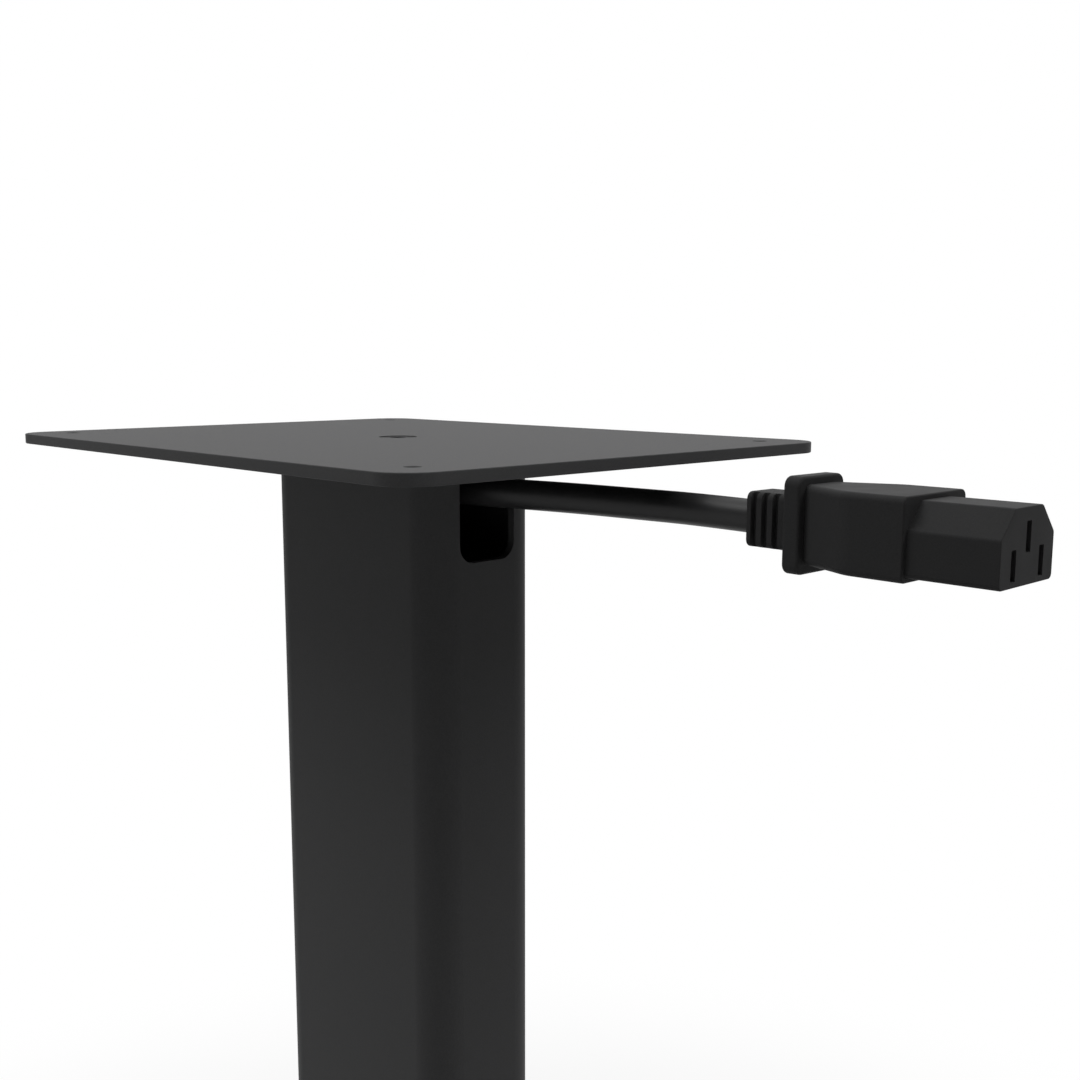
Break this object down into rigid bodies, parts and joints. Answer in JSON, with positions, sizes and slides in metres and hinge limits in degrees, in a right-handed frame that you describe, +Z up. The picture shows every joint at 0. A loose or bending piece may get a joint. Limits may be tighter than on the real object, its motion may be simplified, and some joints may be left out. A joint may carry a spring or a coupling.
{
  "type": "speaker stand",
  "caption": "Floor stand for a loudspeaker: steel plate on a slim rectangular column with a cable duct, heavy base on levelling spikes, and the mains lead that runs inside the column.",
  "frame": {"origin": "on the floor, below the middle of the column, with the feet at their middle height", "axes": "+Z up, -Y the front, +Y the rear with the cable notches, +X to the right seen from the front"},
  "size_m": [0.2633, 0.4309, 0.62],
  "materials": {
    "black_steel": "fine matt powder coat, near-black grey",
    "black_fastener": "black oxide, satin",
    "raw_steel": "mill finish, welded",
    "foot_steel": "bright nickel over turned steel",
    "pad_felt": "black foam rubber",
    "cord_pvc": "satin black PVC sheath",
    "tie_strap": "black hook-and-loop strap",
    "connector_pvc": "moulded black PVC, fine spark-eroded texture",
    "contact_brass": "bare brass, light tarnish"
  },
  "bodies": {
    "stand": {"top_plate": "black_steel", "column": "black_steel", "base_plate": "black_steel", "top_screw": "black_fastener", "base_screws": "black_fastener", "top_cross_plate": "raw_steel", "foot_block": "raw_steel", "locating_pins": "raw_steel", "top_tail": "cord_pvc", "inner_cord": "cord_pvc", "lower_lead": "cord_pvc", "cord_coil": "cord_pvc", "plug_tail": "cord_pvc", "coil_tie": "tie_strap", "connector_shell": "connector_pvc", "connector_insert": "connector_pvc", "connector_contacts": "contact_brass", "plug_body": "connector_pvc", "plug_blades": "contact_brass", "plug_ground_pin": "contact_brass", "lock_nut_front_left": "foot_steel", "lock_nut_front_right": "foot_steel", "lock_nut_rear_left": "foot_steel", "lock_nut_rear_right": "foot_steel"},
    "foot_front_left": {"floor_disc_front_left": "foot_steel", "disc_pad_front_left": "pad_felt"},
    "spike_front_left": {"spike_front_left": "foot_steel"},
    "foot_front_right": {"floor_disc_front_right": "foot_steel", "disc_pad_front_right": "pad_felt"},
    "spike_front_right": {"spike_front_right": "foot_steel"},
    "foot_rear_left": {"floor_disc_rear_left": "foot_steel", "disc_pad_rear_left": "pad_felt"},
    "spike_rear_left": {"spike_rear_left": "foot_steel"},
    "foot_rear_right": {"floor_disc_rear_right": "foot_steel", "disc_pad_rear_right": "pad_felt"},
    "spike_rear_right": {"spike_rear_right": "foot_steel"}
  },
  "joints": [
    {"name": "level_front_left", "type": "slide", "parent": "stand", "child": "foot_front_left", "axis": [0, 0, 1], "range_m": [-0.00375, 0.00187]},
    {"name": "turn_front_left", "type": "hinge", "parent": "foot_front_left", "child": "spike_front_left", "pos_m": [-0.086, -0.111, 0], "axis": [0, 0, 1], "range_deg": [-1080, 540]},
    {"name": "level_front_right", "type": "slide", "parent": "stand", "child": "foot_front_right", "axis": [0, 0, 1], "range_m": [-0.00375, 0.00187]},
    {"name": "turn_front_right", "type": "hinge", "parent": "foot_front_right", "child": "spike_front_right", "pos_m": [0.086, -0.111, 0], "axis": [0, 0, 1], "range_deg": [-1080, 540]},
    {"name": "level_rear_left", "type": "slide", "parent": "stand", "child": "foot_rear_left", "axis": [0, 0, 1], "range_m": [-0.00375, 0.00187]},
    {"name": "turn_rear_left", "type": "hinge", "parent": "foot_rear_left", "child": "spike_rear_left", "pos_m": [-0.086, 0.111, 0], "axis": [0, 0, 1], "range_deg": [-1080, 540]},
    {"name": "level_rear_right", "type": "slide", "parent": "stand", "child": "foot_rear_right", "axis": [0, 0, 1], "range_m": [-0.00375, 0.00187]},
    {"name": "turn_rear_right", "type": "hinge", "parent": "foot_rear_right", "child": "spike_rear_right", "pos_m": [0.086, 0.111, 0], "axis": [0, 0, 1], "range_deg": [-1080, 540]}
  ],
  "couplings": [
    {"joint": "turn_front_left", "follows": "level_front_left", "rad_per_m": 5026.5},
    {"joint": "turn_front_right", "follows": "level_front_right", "rad_per_m": 5026.5},
    {"joint": "turn_rear_left", "follows": "level_rear_left", "rad_per_m": 5026.5},
    {"joint": "turn_rear_right", "follows": "level_rear_right", "rad_per_m": 5026.5}
  ]
}
